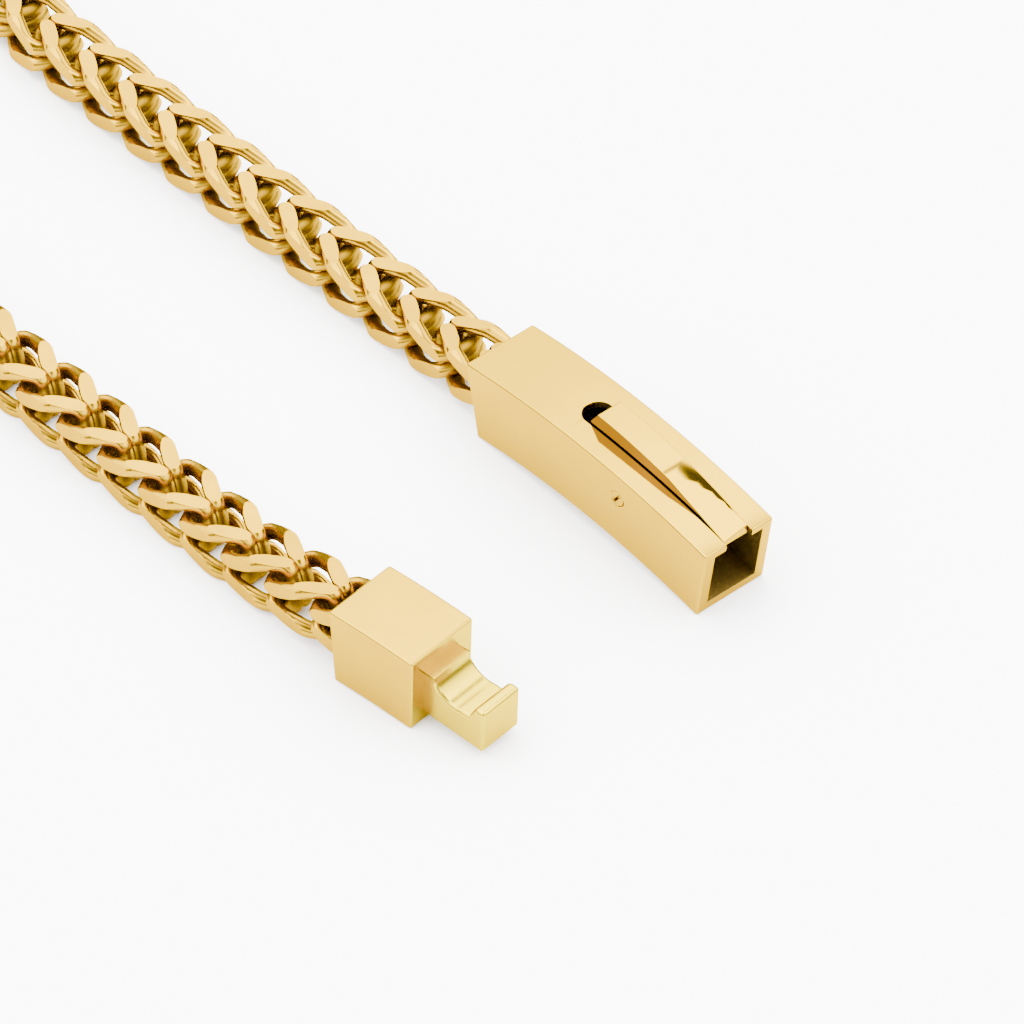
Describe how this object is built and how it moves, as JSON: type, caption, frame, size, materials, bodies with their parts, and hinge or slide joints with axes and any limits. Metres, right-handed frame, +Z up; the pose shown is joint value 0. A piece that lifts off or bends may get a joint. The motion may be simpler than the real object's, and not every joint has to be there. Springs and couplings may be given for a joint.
{
  "type": "franco chain necklace",
  "caption": "Gold franco chain necklace lying as an open loop, with a square arched box clasp, its sprung lever and a catch tongue.",
  "frame": {"origin": "middle of the necklace's outline on the surface that it lies on", "axes": "+X from the round back of the loop to the clasp along the two straight ends, +Z up"},
  "size_m": [0.2192, 0.1096, 0.0107],
  "materials": {
    "chain_gold": "gold-plated stainless steel links, bright polished, with flat cut faces",
    "clasp_gold": "gold-plated stainless steel, mirror polished with small softened edges",
    "pin_gold": "gold-plated pin stock, polished end"
  },
  "bodies": {
    "necklace": {"chain_box_half": "chain_gold", "chain_tongue_half": "chain_gold", "clasp_box": "clasp_gold", "hinge_pin": "pin_gold", "clasp_tongue": "clasp_gold", "box_end_pin": "pin_gold", "tongue_end_pin": "pin_gold"},
    "clasp_lever": {"lever": "clasp_gold"}
  },
  "joints": [
    {"name": "lever_press", "type": "hinge", "parent": "necklace", "child": "clasp_lever", "pos_m": [0.09787, 0.01389, 0.00631], "axis": [-0.0297, -0.9996, 0], "range_deg": [0, 8], "stiffness_Nm_per_rad": 0.05, "springref_deg": -2.86}
  ]
}
